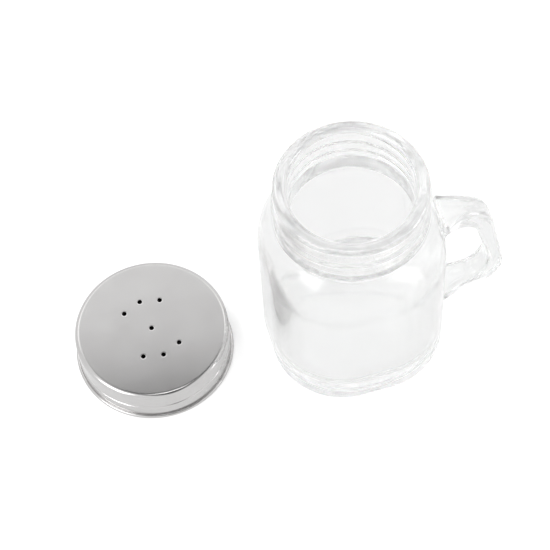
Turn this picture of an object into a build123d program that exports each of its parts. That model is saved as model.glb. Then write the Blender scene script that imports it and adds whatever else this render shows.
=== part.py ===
from build123d import *
import os

# A clear glass spice shaker shaped like a small mug, and its pressed steel screw lid.
# The origin is the centre of the jar's base. +Z is up, and the handle points along +X.
# The lid has been taken off and lies on the table beside the jar, open side down.

os.makedirs("parts", exist_ok=True)

# Shared by all pieces
overrun = 1.0  # how far a cut or a root runs past the face that it meets

# Glass body: a rounded square with upright walls and a thick floor
jar_height = 87.2
body_width = 58.0
body_flat = 10.0  # width of each side's flat, between its rounded corners
shoulder_height = 11.5
heel_radius = 3.3
shoulder_rounding = 6.0
wall = 3.6
floor_thickness = 6.5
floor_corner = 7.0
cavity_drop = 1.5  # how far below the body's top the inside starts to draw in
foot_ring_width = 5.0
foot_recess = 0.9

# Glass neck: round, above the shoulder
neck_setback = 4.7  # from the middle of the body's side in to the neck
neck_length = 16.7
neck_wall = 4.4
bore_drop = 4.5  # how far the bore runs on below the neck's foot
lip_rounding = 1.6
ring_rise = 1.9
ring_thickness = 2.4
ring_reach = 0.8
thread_rise = 5.5
thread_pitch = 5.0
thread_turns = 1.2
thread_thickness = 2.2
thread_reach = 0.85

# Glass handle: an ear in the XZ plane, moulded in one with the body
handle_drop = 0.6
handle_upper_stand = 16.1
handle_stand = 25.0
handle_heel = 11.1
handle_root_heel = 6.9
handle_width = 8.8
handle_rounding = 2.3
handle_upper_corner = 14.5
handle_lower_corner = 11.3
upper_arm = 7.1
lower_arm = 6.5
lower_arm_root = 6.0
grip = 5.5
opening_upper_corner = 11.4
opening_lower_corner = 10.0
flare_length = 13.0
flare_width = 15.8
root_blend = 1.5

# Steel lid
lid_gap = 11.2  # between the body and the lid's rim, as the lid lies on the table
lid_y = 10.2
lid_height = 14.2
lid_clearance = 0.27  # between the neck's thread and the lid's skirt
groove_clearance = 0.57  # between the neck and the lid's rolled thread
steel = 0.45
lid_corner = 1.3
curl_radius = 0.45
curl_start = 180
curl_sweep = 300
groove_height = 3.0
groove_radius = 0.9
groove_turns = 1.2
hole_diameter = 1.6
hole_circle = 10.9
hole_step = 36.0
hole_axis = 97.0
holes_a_side = 3
hole_side_angles = (0, 180)

# Sealing ring under the lid's top
seal_thickness = 0.8
seal_clearance = 0.1
seal_overhang = 0.4

# Heights and radii that follow from these
body_corner = (body_width - body_flat) / 2
neck_foot = jar_height - neck_length
neck_radius = body_width / 2 - neck_setback
mouth_radius = neck_radius - neck_wall
body_top = neck_foot - shoulder_height
cavity_top = body_top - cavity_drop
bore_foot = neck_foot - bore_drop
lid_radius = neck_radius + thread_reach + lid_clearance + steel
groove_depth = lid_radius - steel - neck_radius - groove_clearance
rim_radius = lid_radius + 2 * curl_radius
lid_x = -(body_width / 2 + lid_gap + rim_radius)

# Outlines of the handle in the XZ plane, from the middle of the body's wall outwards
root = body_width / 2 - wall / 2
handle_top = body_top - handle_drop
handle_reach = body_width / 2 + handle_stand
handle_upper_reach = body_width / 2 + handle_upper_stand
flare_reach = body_width / 2 + flare_length
handle_outline = [
    (root, handle_top),
    (handle_upper_reach, handle_top),
    (handle_reach, handle_heel),
    (root, handle_root_heel),
]
opening_outline = [
    (root - overrun, handle_top - upper_arm),
    (handle_upper_reach - grip, handle_top - upper_arm),
    (handle_reach - grip, handle_heel + lower_arm),
    (root - overrun, handle_root_heel + lower_arm_root),
]

# Handle, as a band that flares into the body
with BuildPart() as handle:
    with BuildSketch(Plane.XZ):
        with BuildLine():
            ear = FilletPolyline(*handle_outline, radius=[handle_upper_corner, handle_lower_corner])
            Line(ear @ 1, ear @ 0)
        make_face()
        with BuildLine():
            gap = FilletPolyline(*opening_outline, radius=[opening_upper_corner, opening_lower_corner])
            Line(gap @ 1, gap @ 0)
        make_face(mode=Mode.SUBTRACT)
    extrude(amount=flare_width / 2, both=True)
    with BuildSketch(Plane.XY):
        with BuildLine():
            TangentArc((flare_reach, handle_width / 2), (root, flare_width / 2), tangent=(-1, 0))
            Line((root, flare_width / 2), (root, -flare_width / 2))
            TangentArc((flare_reach, -handle_width / 2), (root, -flare_width / 2), tangent=(-1, 0))
            Polyline(
                (flare_reach, -handle_width / 2),
                (handle_reach, -handle_width / 2),
                (handle_reach, handle_width / 2),
                (flare_reach, handle_width / 2),
            )
        make_face()
    extrude(amount=handle_top + overrun, mode=Mode.INTERSECT)
    outlines = edges().filter_by(Axis.Y, reverse=True).filter_by(Axis.Z, reverse=True)
    fillet(outlines.filter_by(lambda edge: edge.bounding_box().max.X > root + overrun / 2), radius=handle_rounding)

# Space inside the jar: a rounded square below, drawn in to the round bore of the neck
with BuildPart() as cavity:
    inside_width = body_width - 2 * wall
    inside_corner = body_corner - wall
    with BuildSketch(Plane.XY.offset(floor_thickness)):
        RectangleRounded(inside_width, inside_width, inside_corner)
    extrude(amount=cavity_top - floor_thickness)
    fillet(edges().group_by(Axis.Z)[0], radius=floor_corner)
    with BuildSketch(Plane.XY.offset(cavity_top)):
        RectangleRounded(inside_width, inside_width, inside_corner)
    with BuildSketch(Plane.XY.offset(bore_foot)):
        Circle(mouth_radius)
    loft(ruled=True)
    with BuildSketch(Plane.XY.offset(bore_foot)):
        Circle(mouth_radius)
    extrude(amount=jar_height + overrun - bore_foot)

# Glass jar: body, shoulder, neck, thread and handle are one moulded piece
with BuildPart() as glass_jar:
    with BuildSketch():
        RectangleRounded(body_width, body_width, body_corner)
    extrude(amount=body_top)
    with BuildSketch(Plane.XY.offset(body_top)):
        RectangleRounded(body_width, body_width, body_corner)
    with BuildSketch(Plane.XY.offset(neck_foot)):
        Circle(neck_radius)
    loft(ruled=True)
    fillet(edges().group_by(Axis.Z)[0], radius=heel_radius)
    fillet(edges().filter_by_position(Axis.Z, body_top, body_top), radius=shoulder_rounding)
    add(handle.part)
    fillet(edges(Select.NEW), radius=root_blend)
    with BuildSketch(Plane.XY.offset(neck_foot)):
        Circle(neck_radius)
    extrude(amount=jar_height - neck_foot)
    with BuildSketch(Plane.XZ):
        with Locations((neck_radius + ring_reach - ring_thickness / 2, neck_foot + ring_rise)):
            Circle(ring_thickness / 2)
    revolve(axis=Axis.Z)
    thread_path = Helix(
        pitch=thread_pitch,
        height=thread_pitch * thread_turns,
        radius=neck_radius + thread_reach - thread_thickness / 2,
        center=(0, 0, neck_foot + thread_rise),
        mode=Mode.PRIVATE,
    )
    with BuildSketch(Plane(origin=thread_path @ 0, z_dir=thread_path % 0)):
        Circle(thread_thickness / 2)
    sweep(path=thread_path, is_frenet=True)
    add(cavity.part, mode=Mode.SUBTRACT)
    fillet(edges().group_by(Axis.Z)[-1], radius=lip_rounding)
    with BuildSketch():
        Circle(body_width / 2 - heel_radius - foot_ring_width)
    extrude(amount=foot_recess, mode=Mode.SUBTRACT)
glass_jar.part.label = "glass_jar"
export_step(glass_jar.part, "parts/glass_jar.step")

# Steel lid: a thin pressed cap with a rolled thread groove, a curled rim and pouring holes
lid_base = Plane(origin=(lid_x, lid_y, 0))
lid_section = Plane(origin=(lid_x, lid_y, 0), x_dir=(1, 0, 0), z_dir=(0, -1, 0))
lid_axis = Axis((lid_x, lid_y, 0), (0, 0, 1))
sheet_radius = lid_radius - steel / 2
sheet_top = lid_height - steel / 2
curl_height = steel / 2 + curl_radius
groove_path = Helix(
    pitch=thread_pitch,
    height=thread_pitch * groove_turns,
    radius=lid_radius - groove_depth + groove_radius,
    center=(lid_x, lid_y, groove_height),
)
groove_start = Plane(origin=groove_path @ 0, z_dir=groove_path % 0)
with BuildPart() as lid_shell:
    # Inner side of the rolled thread, kept within the skirt
    with BuildSketch(groove_start):
        Circle(groove_radius + steel)
    sweep(path=groove_path, is_frenet=True)
    with BuildSketch(lid_base):
        Circle(sheet_radius)
    extrude(amount=lid_height, mode=Mode.INTERSECT)
    # Top, corner, skirt and curled rim, as one bent sheet
    with BuildSketch(lid_section):
        with BuildLine():
            top = Line((0, sheet_top), (sheet_radius - lid_corner, sheet_top))
            corner = TangentArc(top @ 1, (sheet_radius, sheet_top - lid_corner), tangent=(1, 0))
            Line(corner @ 1, (sheet_radius, curl_height))
            CenterArc((sheet_radius + curl_radius, curl_height), curl_radius, curl_start, curl_sweep)
        trace(line_width=steel)
    revolve(axis=lid_axis)
    # Outer side of the rolled thread
    with BuildSketch(groove_start):
        Circle(groove_radius)
    sweep(path=groove_path, is_frenet=True, mode=Mode.SUBTRACT)
    # One hole in the middle, and an arc of holes on each side of it
    arc_angle = hole_step * (holes_a_side - 1)
    with BuildSketch(lid_base.offset(lid_height + overrun)):
        Circle(hole_diameter / 2)
        for side_angle in hole_side_angles:
            first_angle = hole_axis + side_angle - arc_angle / 2
            with PolarLocations(hole_circle, holes_a_side, first_angle, arc_angle, endpoint=True):
                Circle(hole_diameter / 2)
    extrude(amount=-(steel + 2 * overrun), mode=Mode.SUBTRACT)
lid_shell.part.label = "lid_shell"
export_step(lid_shell.part, "parts/lid_shell.step")

# Sealing ring: a flat ring stuck under the lid's top, where the jar's lip presses
seal_radius = sheet_radius - lid_corner - seal_clearance
with BuildPart() as lid_seal:
    with BuildSketch(lid_base.offset(lid_height - steel)):
        Circle(seal_radius)
        Circle(mouth_radius - seal_overhang, mode=Mode.SUBTRACT)
    extrude(amount=-seal_thickness)
lid_seal.part.label = "lid_seal"
export_step(lid_seal.part, "parts/lid_seal.step")
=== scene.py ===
import bpy
import numpy as np
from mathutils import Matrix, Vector, geometry


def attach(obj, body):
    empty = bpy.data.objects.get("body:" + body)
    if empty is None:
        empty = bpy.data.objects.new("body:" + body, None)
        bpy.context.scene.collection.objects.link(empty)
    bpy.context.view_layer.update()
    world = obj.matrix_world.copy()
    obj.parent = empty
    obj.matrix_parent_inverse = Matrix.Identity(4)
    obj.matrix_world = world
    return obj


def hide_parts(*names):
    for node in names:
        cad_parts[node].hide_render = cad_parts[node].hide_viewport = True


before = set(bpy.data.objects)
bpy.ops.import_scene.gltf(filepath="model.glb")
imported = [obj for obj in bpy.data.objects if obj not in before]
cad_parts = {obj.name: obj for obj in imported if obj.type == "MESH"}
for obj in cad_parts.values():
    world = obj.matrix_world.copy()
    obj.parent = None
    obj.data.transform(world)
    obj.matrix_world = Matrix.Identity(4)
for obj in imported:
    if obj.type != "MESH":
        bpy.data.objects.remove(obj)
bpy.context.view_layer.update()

# Glass jar: one pressed piece of clear glass, with a rounded-square body on a thick floor, a sloped
# shoulder, a round neck with a bead and a screw thread, and an ear handle. The mould forms all of it
# at once, and its edges are melted soft afterwards.

millimetre = 0.001
round_steps = 256

body_flat = 5.0
body_round = 24.0
body_top = 59.0
shoulder_reach = 10.6
heel = 3.3
foot_hollow = 0.9
foot_hollow_radius = 20.6
foot_slope = 1.0
hollow_rounding = 0.6
hollow_edge = 0.5
wall = 3.6
floor_top = 6.5
floor_corner = 7.0
flat_margin = 0.4
inside_top = 57.5
inside_reach = 8.4
bore_end = 66.0
bore_rounding = 5.0
bore = 19.9
neck = 24.3
neck_foot = 70.5
neck_rounding = 1.5
jar_top = 87.2
lip = 1.6
bead_height = 72.4
bead_reach = 0.8
bead_half = 1.7
thread_start = 76.0
thread_pitch = 5.0
thread_turns = 1.2
thread_reach = 0.6
thread_half = 1.9
thread_fade = 0.4

# On the side that faces +X a patch of the skin makes way for each root of the handle. The upper patch
# starts at one height and the lower one lies between two. Both have the same rows and columns
upper_root_low = 48.2
lower_root_low = 3.9
lower_root_high = 16.0
root_side_rows = 18
root_columns = 15


def rounded_line(rows, eased=()):
    """Points along straight legs between stops, in any number of dimensions.

    A row holds a stop's place, its rounding, the steps of its arc and the steps of the leg after it.
    A stop with a rounding is replaced by the arc that touches both legs. The arc starts and ends
    rounding * tan(turn / 2) from the stop, and its centre lies rounding / cos(turn / 2) from the
    stop along the corner's bisector. A point on it is the centre plus the two end radii, weighted
    by sin((1 - t) * turn) / sin(turn) and sin(t * turn) / sin(turn).
    At an eased stop the rounding is the distance from the stop at which the curve starts and ends.
    Its bend grows from nothing: a point is the stop plus the ways to the start and the end, weighted
    by (1 - t)^3 * (1 + t) and t^3 * (2 - t).
    Gives the points, and for each stop the number of its point.
    """
    rows = np.asarray(rows, float)
    stops, roundings = rows[:, :-3], rows[:, -3]
    arc_steps, leg_steps = rows[:, -2:].astype(int).T
    ways = np.diff(stops, axis=0)
    ways = ways / np.linalg.norm(ways, axis=1, keepdims=True)
    runs, marks, start, count = [stops[:1]], [0], stops[0], 1
    for k in range(1, len(stops)):
        rounding = roundings[k]
        end = stops[k]
        if rounding:
            turn = np.arccos(np.clip(ways[k - 1] @ ways[k], -1.0, 1.0))
            reach = rounding if k in eased else rounding * np.tan(turn / 2)
            end = stops[k] - reach * ways[k - 1]
        share = np.arange(1, leg_steps[k - 1] + 1)[:, None] / leg_steps[k - 1]
        runs.append(start + (end - start) * share)
        count += leg_steps[k - 1]
        start = end
        if rounding:
            start = stops[k] + reach * ways[k]
            share = np.arange(1, arc_steps[k] + 1)[:, None] / arc_steps[k]
            if k in eased:
                centre = stops[k]
                first = (1 - share) ** 3 * (1 + share)
                last = share**3 * (2 - share)
            else:
                inward = ways[k] - ways[k - 1]
                inward = inward / np.linalg.norm(inward)
                centre = stops[k] + inward * rounding / np.cos(turn / 2)
                first = np.sin((1 - share) * turn) / np.sin(turn)
                last = np.sin(share * turn) / np.sin(turn)
            runs.append(centre + first * (end - centre) + last * (start - centre))
            marks.append(count - 1 + arc_steps[k] // 2)
            count += arc_steps[k]
        else:
            marks.append(count - 1)
    return np.concatenate(runs), marks


def rounded_square(flat, corner, angle):
    """Distance from the axis to a rounded square, at an angle seen from its centre.

    The square's sides are flat for 2 * flat, and its corners have the radius corner. Where the ray
    meets a flat side the distance is (flat + corner) / cos. Elsewhere it meets the corner's circle,
    which gives flat * (cos + sin) + sqrt(corner^2 - 2 flat^2 + flat^2 (cos + sin)^2).
    """
    across, along = np.abs(np.cos(angle)), np.abs(np.sin(angle))
    major, minor = np.maximum(across, along), np.minimum(across, along)
    both = flat * (across + along)
    on_corner = both + np.sqrt(np.maximum(corner**2 - 2 * flat**2 + both**2, 0.0))
    return np.where(minor * (flat + corner) < flat * major, (flat + corner) / major, on_corner)


def swell(distance, reach, half):
    """A soft ridge: reach * (1 + cos(pi * distance / half)) / 2, and nothing beyond half."""
    return reach * (1 + np.cos(np.pi * np.clip(distance / half, -1.0, 1.0))) / 2


def ease(share):
    """A smooth start and end: t * t * (3 - 2 t), with t held between 0 and 1."""
    share = np.clip(share, 0.0, 1.0)
    return share * share * (3 - 2 * share)


turn_angle = np.arange(round_steps) * 2 * np.pi / round_steps


def winding_ridge(heights, start, turns, reach, half, fade_angle):
    """A soft ridge that winds round the axis and climbs one thread pitch in each turn.

    After the angle a it lies at start + pitch * a / (2 pi), where it swells by reach to half above
    and below. It grows and dies away over the fade angle. Gives a row for each height.
    """
    raised = np.zeros((len(heights), round_steps))
    for lap in range(2):
        wound = turn_angle + lap * 2 * np.pi
        fade = ease(wound / fade_angle) * ease((turns * 2 * np.pi - wound) / fade_angle)
        middle = start + thread_pitch * wound / (2 * np.pi)
        raised = np.maximum(raised, swell(heights[:, None] - middle, reach, half) * fade)
    return raised


def turned(far, heights, angles, middle=(0.0, 0.0)):
    """Points round an upright axis: the middle plus far * (cos, sin) of each angle, at each height."""
    return np.stack(
        [middle[0] + far * np.cos(angles), middle[1] + far * np.sin(angles), heights + 0 * angles],
        axis=-1,
    )


def grid_faces(rows, columns):
    """Four corners of each cell of a grid whose columns run round and close on themselves."""
    row, column = np.meshgrid(np.arange(rows - 1), np.arange(columns), indexing="ij")
    here = row * columns + column
    beside = row * columns + (column + 1) % columns
    return np.stack([here, beside, beside + columns, here + columns], axis=-1)


def make_piece(name, points, faces):
    """A smooth mesh piece from points in millimetres and lists of faces, without unused points."""
    used = np.unique(np.concatenate([group.ravel() for group in faces]))
    place = np.full(len(points), -1)
    place[used] = np.arange(len(used))
    mesh = bpy.data.meshes.new(name)
    flat_faces = [face for group in faces for face in place[group].tolist()]
    mesh.from_pydata((points[used] * millimetre).tolist(), [], flat_faces)
    mesh.polygons.foreach_set("use_smooth", np.ones(len(mesh.polygons), bool))
    mesh.update()
    piece = bpy.data.objects.new(name, mesh)
    bpy.context.scene.collection.objects.link(piece)
    return piece


# Half section of the glass, from the foot's hollow round to the floor. A row is one round: half of
# the side's flat, the corner's radius and the height, then what rounded_line asks for
glass_rounds = [
    (0, 0, foot_hollow, 0, 0, 14),
    (0, foot_hollow_radius - foot_slope, foot_hollow, hollow_rounding, 4, 2),
    (0, foot_hollow_radius, 0, hollow_edge, 4, 5),
    (body_flat, body_round - heel - flat_margin, 0, 0, 0, 1),
    (body_flat, body_round, 0, heel, 24, 1),
    (body_flat, body_round, lower_root_low, 0, 0, root_side_rows),
    (body_flat, body_round, lower_root_high, 0, 0, 24),
    (body_flat, body_round, upper_root_low, 0, 0, 1),
    (body_flat, body_round, body_top, shoulder_reach, 26, 2),
    (0, neck, neck_foot, neck_rounding, 3, 62),
    (0, neck, jar_top, lip, 8, 2),
    (0, bore, jar_top, lip, 8, 24),
    (0, bore, bore_end, bore_rounding, 12, 1),
    (body_flat, body_round - wall, inside_top, inside_reach, 20, 26),
    (body_flat, body_round - wall, floor_top, floor_corner, 34, 2),
    (body_flat, body_round - wall - floor_corner - flat_margin, floor_top, 0, 0, 12),
    (0, 0, floor_top, 0, 0, 0),
]

# The shoulder's two rounds, outside and inside, bend gently, because clear glass shows every edge
shoulder_rounds = (8, 13)
section, marks = rounded_line(glass_rounds, eased=shoulder_rounds)
lower_low_row, lower_high_row, upper_low_row = marks[5:8]
neck_row, rim_row = marks[9:11]
upper_high_row = upper_low_row + root_side_rows
flats, corners, heights = section.T

# The bead goes all round, and the thread climbs once and a fifth round, fading in and out
outside = (np.arange(len(section)) < rim_row)[:, None]
bead = swell(heights[:, None] - bead_height, bead_reach, bead_half)
thread = winding_ridge(heights, thread_start, thread_turns, thread_reach, thread_half, thread_fade)
raised = np.maximum(bead, thread) * outside
far = rounded_square(flats[:, None], corners[:, None] + raised, turn_angle)
body_points = turned(far, heights[:, None], turn_angle).reshape(-1, 3)

# The handle is an ear-shaped band in the XZ plane, from its upper root round to its lower one
handle_drop = 0.6
handle_upper_stand = 16.1
handle_stand = 25.0
handle_heel = 11.1
handle_low = 6.9
handle_upper_corner = 14.5
handle_lower_corner = 11.3
upper_arm = 7.1
lower_arm = 6.5
lower_arm_root = 6.0
grip = 5.5
opening_upper_corner = 11.4
opening_lower_corner = 10.0
handle_width = 8.8
handle_rounding = 2.3
flare_length = 13.0
flare_radius = 33.04
root_blend = 1.5
blend_rings = 7
skin_shares = (0.25, 0.5, 0.75)
band_start = 1.6
opening_overrun = 1.0

body_side = body_flat + body_round
handle_root = body_side - wall / 2
handle_start = body_side + band_start
handle_top = body_top - handle_drop
handle_upper_reach = body_side + handle_upper_stand
handle_reach = body_side + handle_stand
flare_end = body_side + flare_length
opening_root = handle_root - opening_overrun
opening_top = handle_top - upper_arm
opening_heel = handle_heel + lower_arm
opening_low = handle_low + lower_arm_root


def straight_line(x, first, last):
    """Height at x on the line through two places (x, z): the first height plus slope * distance."""
    return first[1] + (x - first[0]) * (last[1] - first[1]) / (last[0] - first[0])


def lower_line(x):
    """Underside of the lower arm: straight from the root to the heel."""
    return straight_line(x, (handle_root, handle_low), (handle_reach, handle_heel))


def lower_inside(x):
    """Upper side of the lower arm: straight from the opening's root to its far end."""
    return straight_line(x, (opening_root, opening_low), (handle_reach - grip, opening_heel))


def half_width(x):
    """Half of the band's width: constant far out, and flared towards the body by an arc.

    The arc adds radius - sqrt(radius^2 - near^2), where near is how far x lies inside its end.
    """
    near = np.maximum(flare_end - x, 0.0)
    return handle_width / 2 + flare_radius - np.sqrt(flare_radius**2 - near**2)


def rounded_loop(half, deep, rounding):
    """Loops of a rounded rectangle, one for each row of half, deep and rounding.

    Each side starts in the middle of one corner's arc and ends in the middle of the next. A point
    lies at an even share of the side's length: on the first half arc, on the straight, or on the
    second half arc. Gives the places along the width and across the thickness.
    """
    half, deep, rounding = (np.atleast_1d(v).astype(float)[:, None] for v in (half, deep, rounding))
    eighth = np.pi / 4
    widths, depths = [], []
    sides = 2 * [(half, deep, 2 * root_columns), (deep, half, root_side_rows)]
    for side, (long, out, count) in enumerate(sides):
        straight = 2 * (long - rounding)
        gone = (np.arange(count) / count) * (2 * rounding * eighth + straight)
        first = np.clip(gone / rounding, 0, eighth)
        middle = np.clip(gone - rounding * eighth, 0, straight)
        last = np.clip((gone - rounding * eighth - straight) / rounding, 0, eighth)
        along = long - rounding + rounding * np.cos(eighth + first) - middle - rounding * np.sin(last)
        outward = out - rounding + rounding * (np.sin(eighth + first) - 1 + np.cos(last))
        places = ((along, outward), (-outward, along), (-along, -outward), (outward, -along))[side]
        widths.append(places[0])
        depths.append(places[1])
    return np.concatenate(widths, axis=1), np.concatenate(depths, axis=1)


wall_rows = slice(lower_low_row, neck_row + 1)


def body_face(y, z):
    """How far out the body's skin lies: the flat's half plus sqrt(corner^2 - (|y| - flat)^2)."""
    flat = np.interp(z, heights[wall_rows], flats[wall_rows])
    corner = np.interp(z, heights[wall_rows], corners[wall_rows])
    return flat + np.sqrt(corner**2 - np.maximum(np.abs(y) - flat, 0.0) ** 2)


def rim_numbers(outer_row, inner_row):
    """Numbers of the body's points round a root, in the order of the band's loop.

    The loop follows the row on the handle's outer side, a column, the row on its inner side, and
    the other column.
    """

    def number(row, column):
        return row * round_steps + column % round_steps

    columns = np.arange(root_columns, -root_columns, -1)
    step = np.sign(inner_row - outer_row)
    rows = np.arange(outer_row, inner_row, step)
    return np.concatenate(
        [
            number(outer_row, columns),
            number(rows, -root_columns),
            number(inner_row, -columns),
            number(rows[::-1] + step, root_columns),
        ]
    )


def root_rings(rim, inside_line, outside_line):
    """Rings from a root's rim on the body to the band, in millimetres.

    The first rings stay on the body's skin and change evenly from the rim's rectangle to the band's
    loop, grown by the blend. The next ones turn through a quarter circle: at the angle a the loop is
    grown by blend * (1 - cos a) and stands blend * (1 - sin a) out from the skin.
    """
    rings = []
    for angle in np.linspace(np.pi / 2, 0, blend_rings):
        stand, growth = root_blend * (1 - np.sin(angle)), root_blend * (1 - np.cos(angle))
        nominal = body_side + stand
        near, away = inside_line(nominal), outside_line(nominal)
        half = half_width(nominal)
        y, depth = rounded_loop(half + growth, abs(away - near) / 2 + growth, handle_rounding + growth)
        z = (near + away) / 2 + depth * np.sign(away - near)
        x = body_face(y, z) + stand
        y = y * (half_width(x) + growth) / (half + growth)
        rings.append(np.stack([body_face(y, z) + stand, y, z], axis=-1)[0])
    skin = []
    for share in skin_shares:
        place = rim + (rings[0] - rim) * share
        place[:, 0] = body_face(place[:, 1], place[:, 2])
        skin.append(place)
    return np.array(skin + rings)


outer_path, _ = rounded_line(
    [
        (handle_start, handle_top, 0, 0, 2),
        (handle_upper_reach, handle_top, handle_upper_corner, 24, 26),
        (handle_reach, handle_heel, handle_lower_corner, 24, 10),
        (handle_start, lower_line(handle_start), 0, 0, 0),
    ]
)
inner_path, _ = rounded_line(
    [
        (handle_start, opening_top, 0, 0, 2),
        (handle_upper_reach - grip, opening_top, opening_upper_corner, 24, 26),
        (handle_reach - grip, opening_heel, opening_lower_corner, 24, 10),
        (handle_start, lower_inside(handle_start), 0, 0, 0),
    ]
)
thick = np.linalg.norm(outer_path - inner_path, axis=1)
across = (outer_path - inner_path) / thick[:, None]
centre_line = (outer_path + inner_path) / 2
band_half = half_width(centre_line[:, 0])
band_y, band_depth = rounded_loop(band_half, thick / 2, np.full(len(thick), handle_rounding))
band_x = centre_line[:, :1] + across[:, :1] * band_depth
band_z = centre_line[:, 1:] + across[:, 1:] * band_depth
band_y = band_y * half_width(band_x) / band_half[:, None]
band = np.stack([band_x, band_y, band_z], axis=-1)

upper_rim = rim_numbers(upper_high_row, upper_low_row)
lower_rim = rim_numbers(lower_low_row, lower_high_row)
upper_rings = root_rings(body_points[upper_rim], lambda x: opening_top, lambda x: handle_top)
lower_rings = root_rings(body_points[lower_rim], lower_inside, lower_line)
tube = np.concatenate([upper_rings, band, lower_rings[::-1]])

tube_numbers = len(body_points) + np.arange(tube[..., 0].size).reshape(tube.shape[:2])
tube_numbers = np.concatenate([upper_rim[None], tube_numbers, lower_rim[None]])
next_numbers = np.roll(tube_numbers, -1, axis=1)
tube_faces = np.stack(
    [tube_numbers[:-1], next_numbers[:-1], next_numbers[1:], tube_numbers[1:]], axis=-1
).reshape(-1, 4)

# The body's cells under the two roots come out, and so do those of the two rows at the axis
body_faces = grid_faces(len(section), round_steps)
cell_row = np.arange(len(section) - 1)[:, None]
cell_column = np.arange(round_steps)
beside_x = (cell_column < root_columns) | (cell_column >= round_steps - root_columns)
upper_cells = (cell_row >= upper_low_row) & (cell_row < upper_high_row)
lower_cells = (cell_row >= lower_low_row) & (cell_row < lower_high_row)
kept = ~(beside_x & (upper_cells | lower_cells))
kept[0] = False
kept[-1] = False

# Each of those two rows is a fan of triangles round one point
beside = np.roll(cell_column, -1)
foot_fan = np.stack([0 * cell_column, round_steps + beside, round_steps + cell_column], axis=-1)
last_row = (len(section) - 1) * round_steps
row_before = last_row - round_steps
floor_fan = np.stack([row_before + cell_column, row_before + beside, last_row + 0 * cell_column], axis=-1)
glass = make_piece(
    "moulded_glass",
    np.concatenate([body_points, tube.reshape(-1, 3)]),
    [body_faces[kept], tube_faces, foot_fan, floor_fan],
)


def node_adder(tree):
    """Empties a node tree, and gives the function that adds a node and sets or links its inputs.

    An input is given by its name, with _ for a space, or by i and its number.
    """
    tree.nodes.clear()

    def add(kind, settings=None, **inputs):
        node = tree.nodes.new(kind)
        for key, value in (settings or {}).items():
            setattr(node, key, value)
        for key, value in inputs.items():
            by_number = key[0] == "i" and key[1:].isdigit()
            socket = node.inputs[int(key[1:]) if by_number else key.replace("_", " ")]
            if isinstance(value, bpy.types.NodeSocket):
                tree.links.new(value, socket)
            else:
                socket.default_value = value
        return node

    return add


def new_material(name):
    """A node material, and the function that adds its nodes."""
    material = bpy.data.materials.new(name)
    material.use_nodes = True
    return material, node_adder(material.node_tree)


# Clear glass: nearly colourless, a little greyer in the solid handle, with the faint waves that a
# mould leaves under a thin fire-polished skin. Lamps shine through it
clear_glass, add = new_material("clear_glass")
place = add("ShaderNodeTexCoord").outputs["Object"]
slow = add("ShaderNodeTexNoise", Vector=place, Scale=55.0, Detail=1.0, Roughness=0.4)
waves = add("ShaderNodeBump", Strength=0.04, Distance=0.0004, Height=slow.outputs["Fac"])
outwards = add("ShaderNodeSeparateXYZ", Vector=place)
thickness = add("ShaderNodeMapRange", Value=outwards.outputs["X"], From_Min=0.029, From_Max=0.036)
depth_tint = add(
    "ShaderNodeMix",
    {"data_type": "RGBA"},
    i0=thickness.outputs["Result"],
    i6=(0.984, 0.986, 0.985, 1.0),
    i7=(0.925, 0.93, 0.928, 1.0),
)
body = add(
    "ShaderNodeBsdfPrincipled",
    Base_Color=depth_tint.outputs[2],
    Roughness=0.13,
    IOR=1.52,
    Transmission_Weight=1.0,
    Coat_Weight=0.35,
    Coat_Roughness=0.02,
    Coat_IOR=1.5,
    Normal=waves.outputs["Normal"],
)
through = add("ShaderNodeBsdfTransparent", Color=(0.95, 0.955, 0.953, 1.0))
rays = add("ShaderNodeLightPath").outputs
either = add(
    "ShaderNodeMixShader",
    Fac=rays["Is Shadow Ray"],
    i1=body.outputs[0],
    i2=through.outputs[0],
)
add("ShaderNodeOutputMaterial", Surface=either.outputs[0])
glass.data.materials.append(clear_glass)
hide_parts("glass_jar")
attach(glass, "jar")

# Steel lid: a cap pressed from thin tinned steel. Its satin top has seven punched holes and a rounded
# edge, a thread is rolled into its plain skirt, and its bottom edge is curled outwards. It lies on
# the table beside the jar, open side down.

lid_gap = 11.2
lid_y = 10.2
lid_radius = 25.87
lid_height = 14.2
sheet = 0.45
lid_corner = 1.3
curl = 0.45
curl_start = 180
curl_turn = 283
curl_steps = 28
cap_steps = 6
flat_radius = 23.9
groove_start = 3.0
groove_turns = 1.2
groove_depth = 0.5
groove_half = 0.55
groove_fade = 0.5
skirt_low = 1.6
skirt_high = 11.6
skirt_fade = 0.6
hole = 0.8
hole_edge = 0.03
hole_border = 1.2
hole_circle = 10.9
hole_axis = 97
hole_spacing = 36
hole_steps = 40
edge_steps = 4

lid_middle = np.array([-(body_side + lid_gap + lid_radius + 2 * curl), lid_y])
sheet_radius = lid_radius - sheet / 2
sheet_top = lid_height - sheet / 2
curl_height = sheet / 2 + curl

# The sheet's middle line, from the flat top over the edge, down the skirt and round the curl
curl_angle = np.radians(curl_start + np.arange(1, curl_steps + 1) * curl_turn / curl_steps)
curl_far = sheet_radius + curl + curl * np.cos(curl_angle)
curl_line = np.stack([curl_far, curl_height + curl * np.sin(curl_angle)], axis=-1)
upper_line, _ = rounded_line(
    [
        (flat_radius, sheet_top, 0, 0, 2),
        (sheet_radius, sheet_top, lid_corner, 14, 96),
        (sheet_radius, curl_height, 0, 0, 0),
    ]
)
sheet_line = np.concatenate([upper_line, curl_line])
way = np.gradient(sheet_line, axis=0)
way = way / np.linalg.norm(way, axis=1, keepdims=True)
outward = np.stack([-way[:, 1], way[:, 0]], axis=-1)
outer_side = sheet_line + outward * sheet / 2
inner_side = sheet_line - outward * sheet / 2
cap_angle = np.linspace(0, np.pi, cap_steps + 1)[1:-1, None]
cap = sheet_line[-1] + sheet / 2 * (np.cos(cap_angle) * outward[-1] + np.sin(cap_angle) * way[-1])
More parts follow.
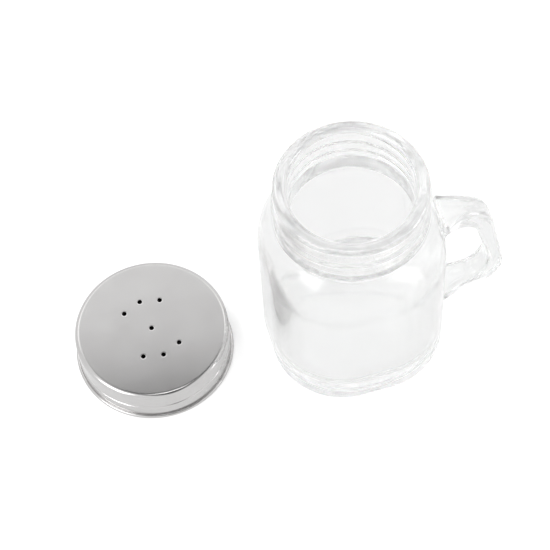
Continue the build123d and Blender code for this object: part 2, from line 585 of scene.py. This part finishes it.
lid_section = np.concatenate([outer_side, cap, inner_side[::-1]])

# The rolled thread pushes both sides of the skirt in along a rising line
above_curl = ease((lid_section[:, 1:] - skirt_low) / skirt_fade)
below_edge = ease((skirt_high - lid_section[:, 1:]) / skirt_fade)
pushed = winding_ridge(
    lid_section[:, 1], groove_start, groove_turns, groove_depth, groove_half, groove_fade
)
lid_far = lid_section[:, :1] - pushed * (above_curl * below_edge)
lid_points = turned(lid_far, lid_section[:, 1:], turn_angle, lid_middle).reshape(-1, 3)
lid_faces = grid_faces(len(lid_section), round_steps).reshape(-1, 4)[:, ::-1]

# Each hole has a flat border, a soft edge and a short wall, down to the same at the underside
edge_turn = np.linspace(0, np.pi / 2, edge_steps + 1)
edge_far = hole + hole_edge - hole_edge * np.sin(edge_turn)
edge_rise = -hole_edge + hole_edge * np.cos(edge_turn)
half_hole = np.concatenate([[(hole_border, 0.0)], np.stack([edge_far, edge_rise], axis=-1)])
hole_section = np.concatenate(
    [half_hole + (0, sheet_top + sheet / 2), half_hole[::-1] * (1, -1) + (0, sheet_top - sheet / 2)]
)
hole_turn = np.arange(hole_steps) * 2 * np.pi / hole_steps

# One hole in the middle, and an arc of three on each side of it
arc_of_three = hole_axis + hole_spacing * np.array([-1, 0, 1])
hole_angles = np.radians(np.concatenate([arc_of_three, arc_of_three + 180]))
hole_ways = np.stack([np.cos(hole_angles), np.sin(hole_angles)], axis=-1)
hole_middles = lid_middle + np.concatenate([[(0.0, 0.0)], hole_circle * hole_ways])
sleeve = turned(hole_section[:, :1], hole_section[:, 1:], hole_turn)
sleeves = sleeve[None] + np.pad(hole_middles, ((0, 0), (0, 1)))[:, None, None, :]
sleeve_faces = grid_faces(len(hole_section), hole_steps).reshape(-1, 4)
sleeve_size = len(hole_section) * hole_steps
sleeve_starts = len(lid_points) + np.arange(len(hole_middles)) * sleeve_size
all_sleeve_faces = (sleeve_faces[None] + sleeve_starts[:, None, None]).reshape(-1, 4)
lid_points = np.concatenate([lid_points, sleeves.reshape(-1, 3)])


def fill_between(rim, holes, facing_up):
    """Triangles that fill a flat round rim but not its round holes, from Delaunay's rule.

    A triangle with all three corners on one hole lies inside that hole, and is left out.
    """
    loops = [rim, *holes]
    sizes = np.array([len(loop) for loop in loops])
    numbers = np.concatenate(loops)
    loop_number = np.repeat(np.arange(len(loops)), sizes)
    ends = np.cumsum(sizes)
    following = np.arange(1, len(numbers) + 1)
    following[ends - 1] = ends - sizes
    edges = np.stack([np.arange(len(numbers)), following], axis=-1)
    made = geometry.delaunay_2d_cdt(lid_points[numbers, :2].tolist(), edges.tolist(), [], 1, 1e-5)
    corners = np.array(made[3])[:, 0][np.array(made[2])]
    first, second, third = loop_number[corners].T
    in_hole = (first > 0) & (first == second) & (second == third)
    triangles = numbers[corners[~in_hole]]
    return triangles if facing_up else triangles[:, ::-1]


top_rim = np.arange(round_steps)
bottom_rim = top_rim + (len(lid_section) - 1) * round_steps
top_holes = [start + np.arange(hole_steps) for start in sleeve_starts]
bottom_holes = [loop + sleeve_size - hole_steps for loop in top_holes]
lid = make_piece(
    "pressed_lid",
    lid_points,
    [
        lid_faces,
        all_sleeve_faces,
        fill_between(top_rim, top_holes, True),
        fill_between(bottom_rim, bottom_holes, False),
    ],
)


def two_tones(add, factor, first, last, ends=(0.0, 1.0), curve="LINEAR"):
    """A colour that goes from the first to the last while the factor goes between the two ends."""
    ramp = add("ShaderNodeValToRGB", Fac=factor)
    ramp.color_ramp.interpolation = curve
    for stop, position, colour in zip(ramp.color_ramp.elements, ends, (first, last)):
        stop.position = position
        stop.color = (*colour, 1.0)
    return ramp.outputs["Color"]


# Satin steel: a fine even grain, and faint clouds in its tone and in its shine
satin_steel, add = new_material("satin_steel")
place = add("ShaderNodeTexCoord").outputs["Object"]
clouds = add("ShaderNodeTexNoise", Vector=place, Scale=70.0, Detail=3.0, Roughness=0.55)
grain = add("ShaderNodeTexNoise", Vector=place, Scale=5200.0, Detail=2.0, Roughness=0.6)
tone = two_tones(
    add, clouds.outputs["Fac"], (0.575, 0.567, 0.564), (0.615, 0.608, 0.605), ends=(0.3, 0.7)
)
shine = add("ShaderNodeMapRange", Value=clouds.outputs["Fac"], To_Min=0.15, To_Max=0.19)
grit = add("ShaderNodeBump", Strength=0.15, Distance=0.00002, Height=grain.outputs["Fac"])
metal = add(
    "ShaderNodeBsdfPrincipled",
    Base_Color=tone,
    Metallic=1.0,
    Roughness=shine.outputs["Result"],
    Normal=grit.outputs["Normal"],
)
add("ShaderNodeOutputMaterial", Surface=metal.outputs[0])
lid.data.materials.append(satin_steel)
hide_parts("lid_shell")
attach(lid, "lid")

# Sealing ring: a flat ring cut from soft white foam sheet and stuck under the lid's top. The jar's
# lip presses on it, so its edges are a little rounded.

seal_inner = 19.5
seal_outer = 24.2
seal_low = 12.95
seal_high = 13.74
seal_edge = 0.15
seal_seam = 22.0

# The ring's section, from a seam on its top round and back to it
seal_section, _ = rounded_line(
    [
        (seal_seam, seal_high, 0, 0, 4),
        (seal_inner, seal_high, seal_edge, 3, 2),
        (seal_inner, seal_low, seal_edge, 3, 8),
        (seal_outer, seal_low, seal_edge, 3, 2),
        (seal_outer, seal_high, seal_edge, 3, 4),
        (seal_seam, seal_high, 0, 0, 0),
    ]
)
seal_section = seal_section[:-1]
seal_points = turned(seal_section[:, :1], seal_section[:, 1:], turn_angle, lid_middle).reshape(-1, 3)
seal_rows = len(seal_section)
seal_faces = grid_faces(seal_rows + 1, round_steps).reshape(-1, 4) % (seal_rows * round_steps)
seal = make_piece("foam_seal", seal_points, [seal_faces])

# Soft foam: off-white, with fine pores and a tone that drifts a little
soft_foam, add = new_material("soft_foam")
place = add("ShaderNodeTexCoord").outputs["Object"]
cells = add("ShaderNodeTexVoronoi", Vector=place, Scale=2600.0)
shade = add("ShaderNodeTexNoise", Vector=place, Scale=160.0, Detail=2.0)
tone = two_tones(add, shade.outputs["Fac"], (0.74, 0.73, 0.70), (0.82, 0.81, 0.78))
pores = add("ShaderNodeBump", Strength=0.3, Distance=0.0001, Height=cells.outputs["Distance"])
foam = add(
    "ShaderNodeBsdfPrincipled",
    Base_Color=tone,
    Roughness=0.8,
    Normal=pores.outputs["Normal"],
)
add("ShaderNodeOutputMaterial", Surface=foam.outputs[0])
seal.data.materials.append(soft_foam)
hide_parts("lid_seal")
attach(seal, "lid")

# Table top: a wide matt white sheet that the jar and the lid stand on. Seen straight, in a reflection
# or through the glass it is white paper, and it still takes the soft shadows.

table_half = 3000.0
table_gap = 0.02
jar_side = -0.036
table_corners = np.array([(-1, -1, 0), (1, -1, 0), (1, 1, 0), (-1, 1, 0)]) * table_half
table = make_piece("table_top", table_corners - (0, 0, table_gap), [np.array([[0, 1, 2, 3]])])

# White paper: a matt sheet with a glow for whatever looks at it. On the lid's side of jar_side, in
# metres, the glow fades where little of the sky is open, which paints shade inside and beside the lid,
# and it is a little weaker through the glass, which paints shade on the paper seen there
white_paper, add = new_material("white_paper")
place = add("ShaderNodeTexCoord").outputs["Object"]
fibre = add("ShaderNodeTexNoise", Vector=place, Scale=900.0, Detail=2.0)
tone = two_tones(add, fibre.outputs["Fac"], (0.46, 0.46, 0.46), (0.48, 0.48, 0.48))
matt = add("ShaderNodeBsdfDiffuse", Color=tone)
# Painted shade: ambient occlusion dims the glow, so the paper goes black inside the lid and grey beside
# it
open_sky = add("ShaderNodeAmbientOcclusion", {"samples": 8}, Distance=0.12)
uncovered = add("ShaderNodeMapRange", Value=open_sky.outputs["AO"], From_Min=0.13, From_Max=0.35)
sideways = add("ShaderNodeSeparateXYZ", Vector=place)
greater = {"operation": "GREATER_THAN"}
larger = {"operation": "MAXIMUM"}
product = {"operation": "MULTIPLY"}
near_jar = add("ShaderNodeMath", greater, i0=sideways.outputs["X"], i1=jar_side)
painted_shade_mask = add("ShaderNodeMath", larger, i0=uncovered.outputs["Result"], i1=near_jar.outputs[0])
rays = add("ShaderNodeLightPath").outputs
straight = add("ShaderNodeMapRange", Value=rays["Is Camera Ray"], To_Min=0.52, To_Max=0.71)
# Painted shade: seen through the glass the paper's glow is dimmer, standing in for the jar's shadow on it
painted_glass_shade = add("ShaderNodeMapRange", Value=rays["Is Transmission Ray"], To_Min=1.0, To_Max=0.86)
level = add("ShaderNodeMath", product, i0=straight.outputs["Result"], i1=painted_glass_shade.outputs["Result"])
bright = add("ShaderNodeMath", product, i0=painted_shade_mask.outputs[0], i1=level.outputs[0])
glow = add("ShaderNodeEmission", Color=(1.0, 1.0, 1.0, 1.0), Strength=bright.outputs[0])
lit = add("ShaderNodeAddShader", i0=matt.outputs[0], i1=glow.outputs[0])
glance = add("ShaderNodeMath", larger, i0=rays["Is Camera Ray"], i1=rays["Is Glossy Ray"])
seen = add("ShaderNodeMath", larger, i0=glance.outputs[0], i1=rays["Is Transmission Ray"])
paper = add("ShaderNodeMixShader", Fac=seen.outputs[0], i1=matt.outputs[0], i2=lit.outputs[0])
add("ShaderNodeOutputMaterial", Surface=paper.outputs[0])
table.data.materials.append(white_paper)

# Studio light: a white tent with a dark slot overhead that runs from front to back, and soft lamps,
# a large one on each side, a small one above, and a low strip close behind the lid that shades its
# top. Whatever is seen through the glass is an even grey haze instead.

world = bpy.data.worlds.new("tent")
bpy.context.scene.world = world
world.use_nodes = True
add = node_adder(world.node_tree)
direction = add("ShaderNodeTexCoord").outputs["Generated"]

# A direction's x and y, scaled and shifted, have length 0 in the slot's middle and about 1 at its edge
from_slot = add(
    "ShaderNodeVectorMath",
    {"operation": "MULTIPLY_ADD"},
    i0=direction,
    i1=(2.9, 1.29, 0.0),
    i2=(-0.175, 0.19, 0.0),
)
away = add("ShaderNodeVectorMath", {"operation": "LENGTH"}, i0=from_slot.outputs["Vector"])
tent_tone = two_tones(
    add, away.outputs["Value"], (0.15, 0.15, 0.15), (1.0, 1.0, 1.0), ends=(0.8, 0.97), curve="EASE"
)
tent = add("ShaderNodeBackground", Color=tent_tone)

# The haze darkens a little towards the top of the tent
upwards = add(
    "ShaderNodeVectorMath", {"operation": "DOT_PRODUCT"}, i0=direction, i1=(0.15, -0.19, 0.970)
)
haze_tone = two_tones(
    add, upwards.outputs["Value"], (0.88, 0.88, 0.88), (0.72, 0.72, 0.72), ends=(0.30, 0.85), curve="EASE"
)
haze = add("ShaderNodeBackground", Color=haze_tone)

# The camera sees plain white, a ray that has been in the glass sees the haze, and others the tent
white = add("ShaderNodeBackground", Color=(1.0, 1.0, 1.0, 1.0))
rays = add("ShaderNodeLightPath").outputs
in_glass = add("ShaderNodeMath", {"operation": "MINIMUM"}, i0=rays["Transmission Depth"], i1=1.0)
around = add("ShaderNodeMixShader", Fac=in_glass.outputs[0], i1=tent.outputs[0], i2=haze.outputs[0])
pick = add(
    "ShaderNodeMixShader",
    Fac=rays["Is Camera Ray"],
    i1=around.outputs[0],
    i2=white.outputs[0],
)
add("ShaderNodeOutputWorld", Surface=pick.outputs[0])
object_middle = Vector((-0.02, 0.0, 0.03))


def soft_lamp(name, place, width, height, power):
    """A rectangular area lamp that faces the middle of the object."""
    data = bpy.data.lights.new(name, "AREA")
    data.shape = "RECTANGLE"
    data.size = width
    data.size_y = height
    data.energy = power
    lamp = bpy.data.objects.new(name, data)
    lamp.location = place
    lamp.rotation_euler = (object_middle - Vector(place)).to_track_quat("-Z", "Y").to_euler()
    lamp.visible_camera = False
    bpy.context.scene.collection.objects.link(lamp)
    return lamp


soft_lamp("left_lamp", (-0.9, -0.35, 0.75), 0.6, 0.6, 4.0)
right_lamp = soft_lamp("right_lamp", (1.0, -0.36, 0.36), 0.45, 0.45, 2.0)
# Seen through the glass from behind, this low lamp would burn white patches into it
right_lamp.visible_transmission = False
soft_lamp("top_lamp", (-0.03, 0.0, 0.9), 0.22, 0.22, 0.4)
soft_lamp("back_lamp", (0.02, 0.16, 0.276), 0.6, 0.095, 0.116)

# Camera: it stands in front of the pair and a little to the left, and looks down at it through a
# long lens.

camera_data = bpy.data.cameras.new("camera")
camera_data.sensor_width = 36.0
camera_data.lens = 130.91
camera = bpy.data.objects.new("camera", camera_data)
camera.location = (-0.09473, -0.30928, 0.60293)
camera.rotation_euler = np.radians([29.5526, 2.0932, -16.2638]).tolist()
bpy.context.scene.collection.objects.link(camera)
bpy.context.scene.camera = camera
bpy.context.scene.view_settings.view_transform = "Standard"

# Thick glass turns light inside itself many times before it lets it out
glass_bounces = 32
light_paths = bpy.context.scene.cycles
light_paths.max_bounces = glass_bounces
light_paths.glossy_bounces = glass_bounces
light_paths.transmission_bounces = glass_bounces
